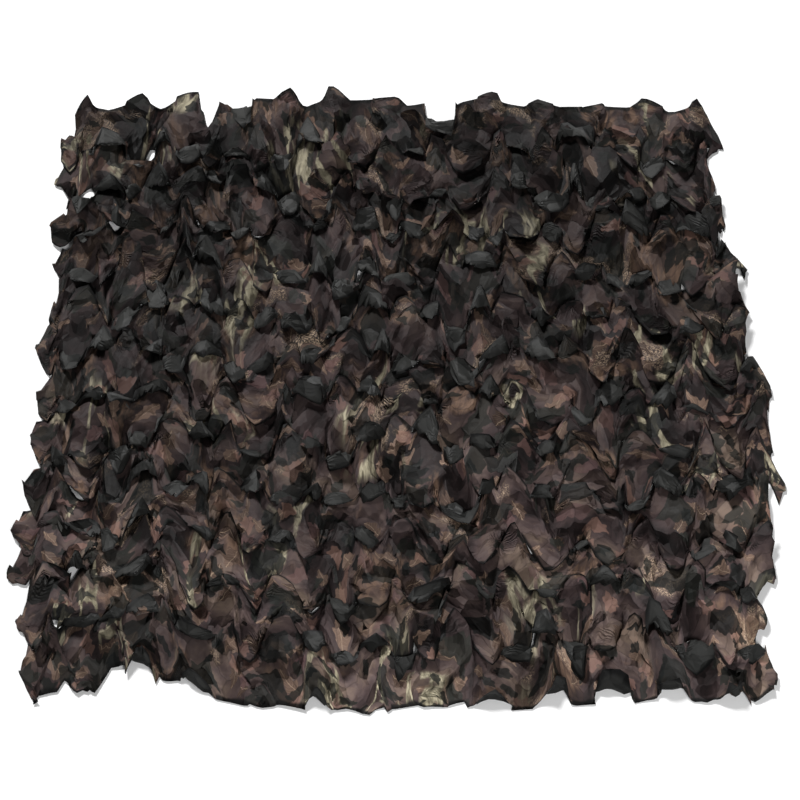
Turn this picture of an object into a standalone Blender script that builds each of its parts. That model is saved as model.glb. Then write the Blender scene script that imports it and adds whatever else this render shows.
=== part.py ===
"""Camouflage net: one printed cloth, cut through with rows of wave-shaped slits and laid out flat.

Each slit is one full wave long. The cloth in front of its crest is a leaf that stands up and rolls
back, and the cloth behind its trough is a leaf that hangs over the row in front. Between two slits
of a row a bridge of cloth stays whole, and the bridges lie flat on the ground.

Metres, +Z up. The cloth lies on z = 0, its front edge towards -Y.
"""

import math
import random
from collections import namedtuple

import bmesh
import bpy

# The cut
WAVES = 13  # slits along a row, and bridges too
BANDS = 13  # bands of cloth from the front edge to the back edge
WAVE_HEIGHT = 0.037  # a slit swings this far to each side of its row
CLOTH = 0.0018  # thickness of the sheet

# The grid that the sheet is made from
STEPS = 6  # columns to one wave
COLUMNS = WAVES * STEPS
LINES = BANDS * 2  # each band has a middle line between its two cut edges
FIRST_PHASE = math.radians(210)  # the wave's phase at the left edge
BRIDGE_STEPS = (2, 3)  # the two columns of a wave that bound its bridge

# How the laid cloth lies out of true
LEFT_CROWD = 0.055  # the waves at the left are this share closer together
WANDER = 0.007  # rows and columns stray this far from straight lines
SWELL = 0.010  # the middles of the bands rise and sink by this much, over half a metre or so
SWAY = 0.007  # a leaf's tip strays sideways by this much
EDGE_STRAY = 0.005  # a slit strays along Y by this much
LIFT_SHARE = 0.36  # and its leaves' heights by this share
LIFT_AT_LEFT = 0.15  # the crowded side stands this share higher
ROLL_BACK = 0.011  # a standing leaf rolls back by up to this much more
BRIDGE_RISE = 0.006  # a bridge's middle may lift this much off the ground
RISEN_BRIDGES = 0.35  # the share of bridges that do
OUTLINE_STRAY = 0.009  # the leaves of the front and back edges stray along Y by this much
LOW_EDGE = 0.010  # an edge no higher than this is tucked under, and keeps to its place
SEED = 11

# The cloth's outline: where its leaves' tips reach along each side
Side = namedtuple("Side", "y left right")
SIDES = (
    Side(-0.66, -0.712, 0.704),
    Side(-0.37, -0.750, 0.722),
    Side(0.00, -0.728, 0.738),
    Side(0.30, -0.716, 0.708),
    Side(0.65, -0.714, 0.660),
)
End = namedtuple("End", "x front back")
ENDS = (
    End(-0.72, -0.640, 0.640),
    End(-0.45, -0.632, 0.655),
    End(-0.20, -0.668, 0.662),
    End(0.10, -0.674, 0.658),
    End(0.45, -0.658, 0.642),
    End(0.70, -0.648, 0.630),
)
TIP_REACH = 0.030  # a leaf at the front or back edge reaches this far past its row

# The two edges of an opened slit at each column of a wave: how far they move along Y from the slit
# and how high they stand. The front edge belongs to the band in front of the slit. The middle
# height is that of the band's middle line.
Opened = namedtuple("Opened", "front_y front_z back_y back_z middle_z")
SLIT = (
    Opened(-0.009, 0.001, -0.001, 0.011, 0.006),  # side of the hanging leaf
    Opened(-0.014, 0.000, -0.005, 0.018, 0.009),  # tip of the hanging leaf
    Opened(0.0, 0.0, 0.0, 0.0, 0.0),  # bridge
    Opened(0.0, 0.0, 0.0, 0.0, 0.0),  # bridge
    Opened(-0.038, 0.031, -0.025, 0.003, 0.013),  # tip of the standing leaf
    Opened(-0.036, 0.022, -0.022, 0.003, 0.010),  # side of the standing leaf
)
# The front and back edges of the whole cloth are cut along a row too, and lie flatter.
FRONT_EDGE = (
    Opened(0.0, 0.0, 0.004, 0.007, 0.006),
    Opened(0.0, 0.0, -0.001, 0.010, 0.009),
    Opened(0.0, 0.0, 0.0, 0.0, 0.0),
    Opened(0.0, 0.0, -0.012, 0.0, 0.0),
    Opened(0.0, 0.0, -0.036, 0.004, 0.010),
    Opened(0.0, 0.0, -0.028, 0.005, 0.008),
)
BACK_EDGE = (
    Opened(0.022, 0.004, 0.0, 0.0, 0.006),
    Opened(0.034, 0.003, 0.0, 0.0, 0.008),
    Opened(0.012, 0.0, 0.0, 0.0, 0.0),
    Opened(0.0, 0.0, 0.0, 0.0, 0.0),
    Opened(-0.004, 0.016, 0.0, 0.0, 0.012),
    Opened(-0.004, 0.012, 0.0, 0.0, 0.010),
)

# The loose end of each band at the left and right sides, from front to back: how far it reaches
# past the outline, how much its front corner leads its back one, how high its middle lifts, and
# how much wider than the others the slit behind it gapes.
Loose = namedtuple("Loose", "reach slant lift gape")
LEFT_ENDS = (
    Loose(0.004, 0.006, 0.006, 0.004),
    Loose(-0.006, 0.010, 0.004, 0.026),
    Loose(0.012, -0.014, 0.010, 0.000),
    Loose(0.006, 0.010, 0.012, 0.002),
    Loose(-0.002, -0.006, 0.005, 0.000),
    Loose(0.008, 0.004, 0.009, 0.006),
    Loose(-0.006, -0.008, 0.004, 0.000),
    Loose(0.010, 0.008, 0.011, 0.002),
    Loose(0.000, -0.004, 0.006, 0.008),
    Loose(-0.008, 0.008, 0.008, 0.000),
    Loose(0.004, -0.012, 0.012, 0.010),
    Loose(-0.004, 0.006, 0.005, 0.000),
    Loose(0.006, -0.004, 0.009, 0.000),
)
RIGHT_ENDS = (
    Loose(0.012, -0.010, 0.008, 0.000),
    Loose(-0.004, 0.004, 0.012, 0.003),
    Loose(-0.010, -0.006, 0.005, 0.000),
    Loose(0.004, 0.008, 0.010, 0.000),
    Loose(0.016, -0.004, 0.014, 0.005),
    Loose(0.002, -0.010, 0.006, 0.000),
    Loose(0.010, 0.006, 0.012, 0.002),
    Loose(-0.006, -0.004, 0.005, 0.000),
    Loose(0.006, 0.010, 0.009, 0.004),
    Loose(0.008, -0.008, 0.013, 0.000),
    Loose(-0.004, 0.004, 0.006, 0.002),
    Loose(0.004, -0.006, 0.010, 0.000),
    Loose(0.010, 0.008, 0.007, 0.000),
)
CORNER_INSET = 0.012  # a band's corners stay this far inside its middle, so its end is pointed


def clear_scene():
    for obj in list(bpy.data.objects):
        bpy.data.objects.remove(obj)


def between(table, position, key, value):
    """The value at a position along a table, straight between its rows."""
    rows = list(zip(table, table[1:]))
    for low, high in rows:
        if position <= getattr(high, key) or high is table[-1]:
            share = (position - getattr(low, key)) / (getattr(high, key) - getattr(low, key))
            share = min(max(share, 0.0), 1.0)
            return getattr(low, value) * (1 - share) + getattr(high, value) * share


def plan_position(column, line):
    """Where a grid point lies in plan before its slit opens."""
    share = column / COLUMNS
    share += LEFT_CROWD * share * (share - 1)
    depth = line / LINES
    middle_left, middle_right = SIDES[2].left, SIDES[2].right
    x = middle_left + share * (middle_right - middle_left)
    front = between(ENDS, x, "x", "front") + TIP_REACH
    back = between(ENDS, x, "x", "back") - TIP_REACH
    y = front + depth * (back - front)
    left = between(SIDES, y, "y", "left")
    right = between(SIDES, y, "y", "right")
    x = left + share * (right - left)
    inside = math.sin(math.pi * share) ** 0.5 * math.sin(math.pi * depth) ** 0.5
    x += WANDER * inside * math.sin(9.0 * y + 4.0 * x)
    y += WANDER * inside * math.sin(7.0 * x - 5.0 * y + 1.0)
    y += WAVE_HEIGHT * math.sin(FIRST_PHASE + math.tau * column / STEPS)
    return x, y


def swell(x, y):
    """The slow rise and fall of the cloth between its bridges, from 0 up."""
    return SWELL * (1 + 0.6 * math.sin(11.0 * x + 3.0 * y) + 0.4 * math.sin(13.0 * y - 5.0 * x)) / 2


def flat_grid():
    """A unit grid whose points know their column and line."""
    sheet = bmesh.new()
    bmesh.ops.create_grid(sheet, x_segments=COLUMNS, y_segments=LINES, size=0.5)
    column = sheet.verts.layers.int.new("column")
    line = sheet.verts.layers.int.new("line")
    for vert in sheet.verts:
        vert[column] = round((vert.co.x + 0.5) * COLUMNS)
        vert[line] = round((vert.co.y + 0.5) * LINES)
    return sheet, column, line


def cut_slits(sheet, column, line):
    """Splits the cloth along every row, leaving a bridge in each wave."""
    cuts = []
    for edge in sheet.edges:
        first, second = sorted(edge.verts, key=lambda vert: vert[column])
        along_row = first[line] == second[line] and first[line] % 2 == 0
        bridge = (first[column] % STEPS, second[column] % STEPS) == BRIDGE_STEPS
        if along_row and not bridge and not edge.is_boundary:
            cuts.append(edge)
    bmesh.ops.split_edges(sheet, edges=cuts)


def edge_side(vert, line):
    """"front" on a cut edge of the band in front, "back" on that of the band behind, or None."""
    lines = {corner[line] for face in vert.link_faces for corner in face.verts}
    above = max(lines) > vert[line]
    below = min(lines) < vert[line]
    if above and below:
        return None
    return "back" if above else "front"


class Strays:
    """How each place on the cut strays from the rule, drawn once for both of its edges."""

    def __init__(self):
        chance = random.Random(SEED)
        self.places = {}
        for line in range(LINES + 1):
            for column in range(COLUMNS + 1):
                self.places[column, line] = {
                    "sway": chance.uniform(-SWAY, SWAY),
                    "along": chance.uniform(-1.0, 1.0),
                    "lift": 1 + chance.uniform(-LIFT_SHARE, LIFT_SHARE),
                    "roll": chance.uniform(0.0, ROLL_BACK),
                    "risen": chance.random() < RISEN_BRIDGES,
                }

    def at(self, column, line):
        return self.places[column, line]


def opened_edge(step, line, side):
    """How far an edge moves along Y and how high it stands, from the tables."""
    if line == 0:
        return FRONT_EDGE[step].back_y, FRONT_EDGE[step].back_z
    if line == LINES:
        return BACK_EDGE[step].front_y, BACK_EDGE[step].front_z
    if side is None:
        return 0.0, 0.0
    return getattr(SLIT[step], side + "_y"), getattr(SLIT[step], side + "_z")


def open_slits(sheet, column, line):
    """Lays the grid out in plan, and lifts and draws apart the edges of its slits."""
    strays = Strays()
    for vert in sheet.verts:
        step = vert[column] % STEPS
        x, y = plan_position(vert[column], vert[line])
        stray = strays.at(vert[column], vert[line])
        lift = stray["lift"] * (1 + LIFT_AT_LEFT * (1 - vert[column] / COLUMNS))
        rise = swell(x, y)
        side = edge_side(vert, line)
        if vert[line] % 2 == 1:
            height = SLIT[step].middle_z
            z = height * lift + rise
            if height == 0:
                z = BRIDGE_RISE * stray["risen"]
            vert.co = (x, y, z)
            continue
        move, height = opened_edge(step, vert[line], side)
        if vert[line] in (0, LINES):
            y += move + OUTLINE_STRAY * stray["along"]
            vert.co = (x, y, height * lift)
            continue
        if side is None:
            vert.co = (x, y, 0.0)
            continue
        y += move + EDGE_STRAY * stray["along"]
        z = height * lift
        if height > LOW_EDGE:
            x += stray["sway"]
            z += rise
        if side == "front" and height > LOW_EDGE:
            y -= stray["roll"]
        vert.co = (x, y, z)


def shape_loose_ends(sheet, column, line):
    """Draws the bands' ends out to points at the left and right sides."""
    for vert in sheet.verts:
        if vert[column] not in (0, COLUMNS):
            continue
        ends = LEFT_ENDS if vert[column] == 0 else RIGHT_ENDS
        outward = -1 if vert[column] == 0 else 1
        if vert[line] % 2 == 1:
            end = ends[vert[line] // 2]
            vert.co.x += outward * end.reach
            vert.co.z = end.lift
            continue
        front_of_slit = edge_side(vert, line) == "front"
        end = ends[vert[line] // 2 - (1 if front_of_slit else 0)]
        slant = -end.slant if front_of_slit else end.slant
        vert.co.x += outward * (end.reach - CORNER_INSET + slant)
        if vert[line] not in (0, LINES):
            gape = ends[vert[line] // 2 - 1].gape / 2
            vert.co.y += -gape if front_of_slit else gape


def cloth_material():
    material = bpy.data.materials.new("printed_cloth")
    material.use_nodes = True
    shader = material.node_tree.nodes["Principled BSDF"]
    shader.inputs["Base Color"].default_value = (0.055, 0.042, 0.036, 1.0)
    shader.inputs["Roughness"].default_value = 0.75
    shader.inputs["Metallic"].default_value = 0.0
    return material


def make_net_cloth(collection):
    sheet, column, line = flat_grid()
    cut_slits(sheet, column, line)
    open_slits(sheet, column, line)
    shape_loose_ends(sheet, column, line)
    bmesh.ops.triangulate(sheet, faces=sheet.faces[:], quad_method="SHORT_EDGE")
    sheet.verts.layers.int.remove(column)
    sheet.verts.layers.int.remove(sheet.verts.layers.int["line"])
    mesh = bpy.data.meshes.new("net_cloth")
    sheet.to_mesh(mesh)
    sheet.free()
    mesh.materials.append(cloth_material())
    cloth = bpy.data.objects.new("net_cloth", mesh)
    collection.objects.link(cloth)
    thickness = cloth.modifiers.new("Thickness", "SOLIDIFY")
    thickness.thickness = CLOTH
    thickness.offset = 1.0
    return cloth


def centre_on_origin(cloth):
    """Puts the middle of the cloth's box, in plan, over the origin."""
    bpy.context.view_layer.update()
    evaluated = cloth.evaluated_get(bpy.context.evaluated_depsgraph_get())
    corners = [evaluated.matrix_world @ vert.co for vert in evaluated.data.vertices]
    for axis in (0, 1):
        places = [corner[axis] for corner in corners]
        cloth.location[axis] = -(min(places) + max(places)) / 2


def main():
    clear_scene()
    collection = bpy.data.collections.new("camouflage_net")
    bpy.context.scene.collection.children.link(collection)
    centre_on_origin(make_net_cloth(collection))


main()
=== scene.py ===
# %% [markdown]
# # A leaf-cut camouflage net on a studio floor
# The net is one printed cloth, about a metre and a half wide once it is laid out. Rows of
# wave-shaped slits are cut right through it. Between two slits of a row a bridge of cloth stays
# whole, and on each side of a slit a rounded leaf is free: the leaf in front stands up over the
# cloth behind it, and the leaf behind hangs over the cloth in front. This lesson cuts the cloth
# with Geometry Nodes, lays it by rule, lets Blender's cloth simulation settle it, presses the
# small creases in, and then prints it. Everything is in metres, and +Z is up.

# %% Load the frame that the solid sheet was packed in
import math
from collections import namedtuple

import bpy
import numpy as np
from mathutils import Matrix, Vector
from mathutils import noise
from mathutils.kdtree import KDTree


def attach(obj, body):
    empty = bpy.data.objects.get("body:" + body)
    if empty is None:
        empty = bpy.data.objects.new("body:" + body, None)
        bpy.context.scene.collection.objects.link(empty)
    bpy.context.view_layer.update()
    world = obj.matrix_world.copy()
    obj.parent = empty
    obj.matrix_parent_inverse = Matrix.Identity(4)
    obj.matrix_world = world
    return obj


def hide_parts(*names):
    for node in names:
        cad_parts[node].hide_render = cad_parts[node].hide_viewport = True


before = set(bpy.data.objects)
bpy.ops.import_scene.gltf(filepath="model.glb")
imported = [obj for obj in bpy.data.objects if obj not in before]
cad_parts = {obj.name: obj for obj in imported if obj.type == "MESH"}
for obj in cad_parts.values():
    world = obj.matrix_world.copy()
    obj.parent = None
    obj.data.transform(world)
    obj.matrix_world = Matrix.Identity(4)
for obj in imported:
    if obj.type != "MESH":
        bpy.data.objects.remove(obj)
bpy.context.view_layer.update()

# %% [markdown]
# ## Where the eye stands
# The net is looked at from in front and well above, so the floor lies under it like a table. A
# long lens keeps the far side nearly as wide as the near one. The camera is made first, because
# every later choice of leaf and crease is judged through it.

# %% Camera
ELEVATION = math.radians(68)
DISTANCE = 3.87
PLAN_SHIFT = (0.0070, 0.0094)  # from the plan that the cut is drawn in to the frame's middle
AIM = Vector((PLAN_SHIFT[0], PLAN_SHIFT[1] - 0.044, 0.0))
LENS_MM = 85.4


def put(name, data):
    """A new object of this data, in the scene."""
    obj = bpy.data.objects.new(name, data)
    bpy.context.scene.collection.objects.link(obj)
    return obj


def make_camera():
    data = bpy.data.cameras.new("studio_camera")
    data.sensor_width = 36.0
    data.lens = LENS_MM
    camera = put("studio_camera", data)
    back = Vector((0.0, -math.cos(ELEVATION), math.sin(ELEVATION)))
    camera.location = AIM + back * DISTANCE
    camera.rotation_euler = (math.radians(90) - ELEVATION, 0.0, 0.0)
    bpy.context.scene.camera = camera
    return camera


camera = make_camera()
print("camera at", [round(value, 3) for value in camera.location])

# %% [markdown]
# ## Light and floor
# Dark cloth needs soft light, or its folds turn into black holes. One strong panel behind the net
# and to its left rakes over the leaves and draws their shadows towards the viewer. A second,
# weaker one beside the camera fills them. The pale floor is staged: it isn't part of the net.

# %% Floor, world and lights
Panel = namedtuple("Panel", "name place size watts")
PANELS = (
    Panel("back_panel", (-3.0, 6.0, 5.4), 1.6, 1150.0),
    Panel("front_panel", (0.9, -1.9, 2.5), 1.0, 50.0),
)
FLOOR_SIZE = 40.0
FLOOR_WHITE = 0.86
SKY_STRENGTH = 0.14


def plain_material(name, colour, roughness):
    material = bpy.data.materials.new(name)
    material.use_nodes = True
    shader = material.node_tree.nodes["Principled BSDF"]
    shader.inputs["Base Color"].default_value = (*colour, 1.0)
    shader.inputs["Roughness"].default_value = roughness
    return material


def make_floor():
    half = FLOOR_SIZE / 2
    mesh = bpy.data.meshes.new("studio_floor")
    corners = [(-half, -half, 0), (half, -half, 0), (half, half, 0), (-half, half, 0)]
    mesh.from_pydata(corners, [], [(0, 1, 2, 3)])
    mesh.materials.append(plain_material("floor_paper", (FLOOR_WHITE,) * 3, 0.9))
    floor = put("studio_floor", mesh)
    return floor


def light_studio():
    world = bpy.data.worlds.new("studio_world")
    bpy.context.scene.world = world
    bpy.context.scene.view_settings.view_transform = "Standard"  # white paper stays white
    world.use_nodes = True
    sky = world.node_tree.nodes["Background"]
    sky.inputs["Color"].default_value = (1.0, 1.0, 1.0, 1.0)
    sky.inputs["Strength"].default_value = SKY_STRENGTH
    for panel in PANELS:
        data = bpy.data.lights.new(panel.name, "AREA")
        data.size = panel.size
        data.energy = panel.watts
        light = put(panel.name, data)
        light.location = panel.place
        toward = Vector((0.0, 0.0, 0.0)) - light.location
        light.rotation_euler = toward.to_track_quat("-Z", "Y").to_euler()


floor = make_floor()
light_studio()
print("floor", FLOOR_SIZE, "m, panels", [panel.name for panel in PANELS])

# %% [markdown]
# ## The sizes of the cut
# A maker feeds flat cloth under a roller that carries wave-shaped knives, so every slit is the
# same wave and starts at the same place in each row. Once the cloth is opened and laid, it covers
# less ground than it did flat: the spare length stands in the leaves. The flat pitches below are
# therefore larger than the laid ones that the solid sheet has.

# %% Sizes
WAVES = 13  # slits along a row
BANDS = 13  # bands of cloth from the front edge to the back edge
WAVE_HEIGHT = 0.037  # a slit swings this far to each side of its row
FIRST_PHASE = math.radians(210)  # the wave's phase at the left edge
BRIDGE_HALF_PHASE = math.radians(22)  # half of the bridge, as a part of the wave
STEPS = 14  # columns of the grid to one wave
ROWS = 18  # rows of the grid to one band
FLAT_PITCH = 0.121  # one wave along a row, in the flat cloth
FLAT_BAND = 0.148  # one band, in the flat cloth
FLAT_WIDTH = WAVES * FLAT_PITCH
FLAT_LENGTH = BANDS * FLAT_BAND + 2 * WAVE_HEIGHT
CLOTH_THICKNESS = 0.0005
SEED = 11
print("flat cloth %.3f x %.3f m" % (FLAT_WIDTH, FLAT_LENGTH))

# %% [markdown]
# ## Cutting the cloth with Geometry Nodes
# The slits repeat along a row and from row to row, which is what Geometry Nodes are for. The tree
# makes one grid, tells each face which band it lies in, and splits the grid's edges wherever a row
# of knives passes, except at the bridges. Because the points along a slit then belong to one band
# or the other, the mean of the bands around a point says on which side of the cut it is.

# %% Helpers for building node trees


def new_group(name, kind, inputs, outputs):
    """An empty node group with the given sockets: (name, type, default) rows."""
    tree = bpy.data.node_groups.new(name, kind)
    for label, socket_type, default in inputs:
        socket = tree.interface.new_socket(label, in_out="INPUT", socket_type=socket_type)
        if default is not None:
            socket.default_value = default
    for label, socket_type in outputs:
        tree.interface.new_socket(label, in_out="OUTPUT", socket_type=socket_type)
    return tree, tree.nodes.new("NodeGroupInput"), tree.nodes.new("NodeGroupOutput")


class Wires:
    """Adds nodes to a tree and joins them, one call for each node."""

    def __init__(self, tree):
        self.tree = tree

    def node(self, kind, settings=None, **sockets):
        made = self.tree.nodes.new(kind)
        for key, value in (settings or {}).items():
            setattr(made, key, value)
        for key, value in sockets.items():
            self.plug(made, key, value)
        return made

    def plug(self, node, key, value):
        names = {socket.name.replace(" ", "_"): socket for socket in reversed(node.inputs)
                 if socket.enabled}
        socket = node.inputs[int(key[1:])] if key[0] == "i" and key[1:].isdigit() else names[key]
        if isinstance(value, bpy.types.NodeSocket):
            self.tree.links.new(value, socket)
        else:
            socket.default_value = value

    def math(self, operation, first, second=0.0, third=0.0):
        made = self.node("ShaderNodeMath", {"operation": operation}, i0=first, i1=second, i2=third)
        return made.outputs[0]

    def product(self, first, *others):
        for other in others:
            first = self.math("MULTIPLY", first, other)
        return first

    def apart(self, first, second):
        return self.math("ABSOLUTE", self.math("SUBTRACT", first, second))

    def off_whole(self, value):
        return self.math("SUBTRACT", value, self.math("ROUND", value))

    def split(self, vector):
        return self.node("ShaderNodeSeparateXYZ", Vector=vector).outputs


def set_input(modifier, label, value):
    """Sets a Geometry Nodes input by its socket's identifier."""
    for item in modifier.node_group.interface.items_tree:
        if item.item_type == "SOCKET" and item.in_out == "INPUT" and item.name == label:
            modifier[item.identifier] = value
            return
    raise KeyError(label)


def mesh_from_nodes(obj, name):
    """The evaluated object as a plain mesh."""
    graph = bpy.context.evaluated_depsgraph_get()
    mesh = bpy.data.meshes.new_from_object(obj.evaluated_get(graph))
    mesh.name = name
    return mesh


print("helpers ready")

# %% The tree that cuts the slits
COUNTS = (("Waves", WAVES), ("Bands", BANDS), ("Steps", STEPS), ("Rows", ROWS))


def build_cut_tree(material):
    inputs = [("Geometry", "NodeSocketGeometry", None)]
    inputs += [(label, "NodeSocketInt", count) for label, count in COUNTS]
    inputs += [("First Phase", "NodeSocketFloat", FIRST_PHASE),
               ("Bridge Half Phase", "NodeSocketFloat", BRIDGE_HALF_PHASE)]
    tree, given, result = new_group(
        "cut_slits", "GeometryNodeTree", inputs, (("Geometry", "NodeSocketGeometry"),))
    wires = Wires(tree)
    take = given.outputs
    columns = wires.product(take["Waves"], take["Steps"])
    lines = wires.product(take["Bands"], take["Rows"])
    grid = wires.node(
        "GeometryNodeMeshGrid", Size_X=1.0, Size_Y=1.0,
        Vertices_X=wires.math("ADD", columns, 1.0), Vertices_Y=wires.math("ADD", lines, 1.0))
    place = wires.node("GeometryNodeInputPosition")
    parts = wires.split(place.outputs[0])
    across = wires.math("ADD", parts[0], 0.5)
    along = wires.math("ADD", parts[1], 0.5)
    geometry = grid.outputs["Mesh"]

    def store(geometry, name, domain, value):
        node = wires.node(
            "GeometryNodeStoreNamedAttribute", {"data_type": "FLOAT", "domain": domain},
            Geometry=geometry, Name=name)
        wires.plug(node, "Value", value)
        return node.outputs[0]

    geometry = store(geometry, "wave_at", "POINT", wires.product(across, take["Waves"]))
    geometry = store(geometry, "row_at", "POINT", wires.product(along, lines))
    band = wires.math("FLOOR", wires.product(along, take["Bands"]))
    geometry = store(geometry, "band", "FACE", band)

    ends = wires.node("GeometryNodeInputMeshEdgeVertices")
    first = wires.split(ends.outputs["Position 1"])
    second = wires.split(ends.outputs["Position 2"])
    level = wires.math("LESS_THAN", wires.apart(first[1], second[1]), 1e-5)
    row = wires.product(wires.math("ADD", first[1], 0.5), take["Bands"])
    off_row = wires.math("ABSOLUTE", wires.off_whole(row))
    on_row = wires.math("LESS_THAN", off_row, 1e-3)
    inside = wires.math("LESS_THAN", wires.math("ABSOLUTE", first[1]), 0.499)
    middle = wires.product(wires.math("ADD", first[0], second[0]), 0.5)
    waves = wires.product(wires.math("ADD", middle, 0.5), take["Waves"])
    phase = wires.math("MULTIPLY_ADD", waves, math.tau, take["First Phase"])
    cosine = wires.math("COSINE", phase)
    free = wires.math("LESS_THAN", cosine, wires.math("COSINE", take["Bridge Half Phase"]))
    cut = wires.product(wires.product(level, on_row), wires.product(inside, free))
    split = wires.node("GeometryNodeSplitEdges", Mesh=geometry,
                       Selection=wires.math("GREATER_THAN", cut, 0.5))
    band_here = wires.node("GeometryNodeInputNamedAttribute", {"data_type": "FLOAT"}, Name="band")
    geometry = store(split.outputs[0], "band_mean", "POINT", band_here.outputs["Attribute"])
    real = wires.node("GeometryNodeRealizeInstances", Geometry=geometry)
    finish = wires.node("GeometryNodeSetMaterial", Geometry=real.outputs[0], Material=material)
    tree.links.new(finish.outputs[0], result.inputs[0])
    return tree


def cut_cloth(material):
    """The flat cut grid, as a mesh whose points know their wave, row and band."""
    helper = put("cut_helper", bpy.data.meshes.new("cut_helper"))
    cutter = helper.modifiers.new("Cut", "NODES")
    cutter.node_group = build_cut_tree(material)
    for label, count in COUNTS:
        set_input(cutter, label, count)
    mesh = mesh_from_nodes(helper, "net_sheet")
    bpy.data.objects.remove(helper)
    return mesh


cloth_mesh = cut_cloth(None)  # its two finishes are put on once it has settled
print("cut cloth:", len(cloth_mesh.vertices), "points,", len(cloth_mesh.polygons), "faces")

# %% Read each point's place on the cut


def unit(value):
    """The value held between 0 and 1."""
    return np.clip(value, 0, 1)


def attribute(mesh, name):
    layer = mesh.attributes[name]
    values = np.zeros(len(layer.data), np.float32)
    layer.data.foreach_get("value", values)
    return values.astype(float)


wave_at = attribute(cloth_mesh, "wave_at")
row_at = attribute(cloth_mesh, "row_at")
band_mean = attribute(cloth_mesh, "band_mean")
band = np.ceil(band_mean - 0.01).astype(int)
share = row_at / ROWS - band  # 0 at a band's front cut, 1 at its back cut
phase = FIRST_PHASE + math.tau * wave_at
swing = np.sin(phase)
leaf = np.floor(phase / math.tau).astype(int)  # the wave that a point's leaves belong to
on_bridge = np.abs(band_mean - band) > 0.25
flat = np.zeros((len(wave_at), 3))
flat[:, 0] = wave_at * FLAT_PITCH
flat[:, 1] = row_at / ROWS * FLAT_BAND + WAVE_HEIGHT * (1 + swing)
print("points on bridges:", int(on_bridge.sum()), " share from", share.min(), "to", share.max())

# %% [markdown]
# ## The ground that the net covers
# The net's outline was settled on the solid sheet, so the same rule places each point of the cut
# here. The solid has two or three facets to a leaf, and this sheet gets its real curl. Its loose
# leaves also reach a little further, so the tables let the sides and ends out by 1 to 5 cm.

# %% Plan of the laid cloth
LEFT_CROWD = 0.055
WANDER = 0.007
TIP_REACH = 0.030
Side = namedtuple("Side", "y left right")
SIDES = (
    Side(-0.66, -0.726, 0.742),
    Side(-0.50, -0.742, 0.728),
    Side(-0.37, -0.770, 0.768),
    Side(0.00, -0.748, 0.760),
    Side(0.30, -0.734, 0.714),
    Side(0.65, -0.744, 0.688),
)
End = namedtuple("End", "x front back")
ENDS = (
    End(-0.72, -0.662, 0.642),
    End(-0.50, -0.624, 0.652),
    End(-0.40, -0.654, 0.656),
    End(-0.20, -0.690, 0.662),
    End(0.10, -0.678, 0.658),
    End(0.45, -0.672, 0.646),
    End(0.70, -0.674, 0.638),
)


def between(table, position, key, value):
    rows = [getattr(row, key) for row in table]
    return np.interp(position, rows, [getattr(row, value) for row in table])


def plan(waves, bands):
    """Where points of the cut lie in plan, from their wave and band counts."""
    part = waves / WAVES
    part = part + LEFT_CROWD * part * (part - 1)
    depth = bands / BANDS
    x = SIDES[3].left + part * (SIDES[3].right - SIDES[3].left)
    front = between(ENDS, x, "x", "front") + TIP_REACH
    back = between(ENDS, x, "x", "back") - TIP_REACH
    y = front + depth * (back - front)
    left = between(SIDES, y, "y", "left")
    right = between(SIDES, y, "y", "right")
    x = left + part * (right - left)
    inside = np.sqrt(unit(np.sin(math.pi * part) * np.sin(math.pi * depth)))
    x = x + WANDER * inside * np.sin(9.0 * y + 4.0 * x)
    y = y + WANDER * inside * np.sin(7.0 * x - 5.0 * y + 1.0)
    return x, y


print("middle of the plan:", [round(float(value), 3) for value in plan(6.5, 6.5)])

# %% [markdown]
# ## How each leaf lies
# No two leaves of a real net lie alike. Some stand over the cloth behind them, some hang over the
# cloth in front, and about half have turned over and show the plain back of the cloth as a
# rounded patch. A small table of chances, drawn once from a fixed seed for each leaf, decides.
# Where a leaf has turned over, the neighbouring cloth reaches in under it, so that little of
# the ground shows.

# %% The chances of each leaf
LEAF_DRAWS = 10
chance = np.random.default_rng(SEED).uniform(0, 1, (BANDS + 4, WAVES + 4, LEAF_DRAWS))
STANDING_TURNED = 0.48  # the share of standing leaves that have turned over
HANGING_TURNED = 0.54  # and of hanging ones
FRONT_TURNED = 0.55  # and of those along the front edge
BACK_TURNED = 0.3  # and of the standing ones along the back edge, a second chance
LEFT_END_WAVES = 0.43  # a hanging leaf this near the left end stays as it hangs
RIGHT_END_WAVES = 0.1  # and this near the right end
TURNED_MORE = 0.10  # and this much more of both at the back left, or less at the front right
to_back_left = (np.arange(BANDS + 4)[:, None] / BANDS - np.arange(WAVES + 4)[None, :] / WAVES)
chance[:, :, 0] -= TURNED_MORE * to_back_left
chance[:, :, 5] -= TURNED_MORE * to_back_left


def drawn(kind, bands_on=0):
    return chance[np.clip(band + 1 + bands_on, 0, BANDS + 3), leaf + 1, kind]


def drawn_in(limits, kind):
    return limits[0] + (limits[1] - limits[0]) * drawn(kind)


standing_turned = drawn(0) < STANDING_TURNED
clear_of_left = wave_at > LEFT_END_WAVES
hanging_turned = (drawn(5) < HANGING_TURNED) & clear_of_left & (wave_at < WAVES - RIGHT_END_WAVES)
print("turned leaves:", int((chance[:, :, 0] < STANDING_TURNED).sum()),
      int((chance[:, :, 5] < HANGING_TURNED).sum()))

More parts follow.
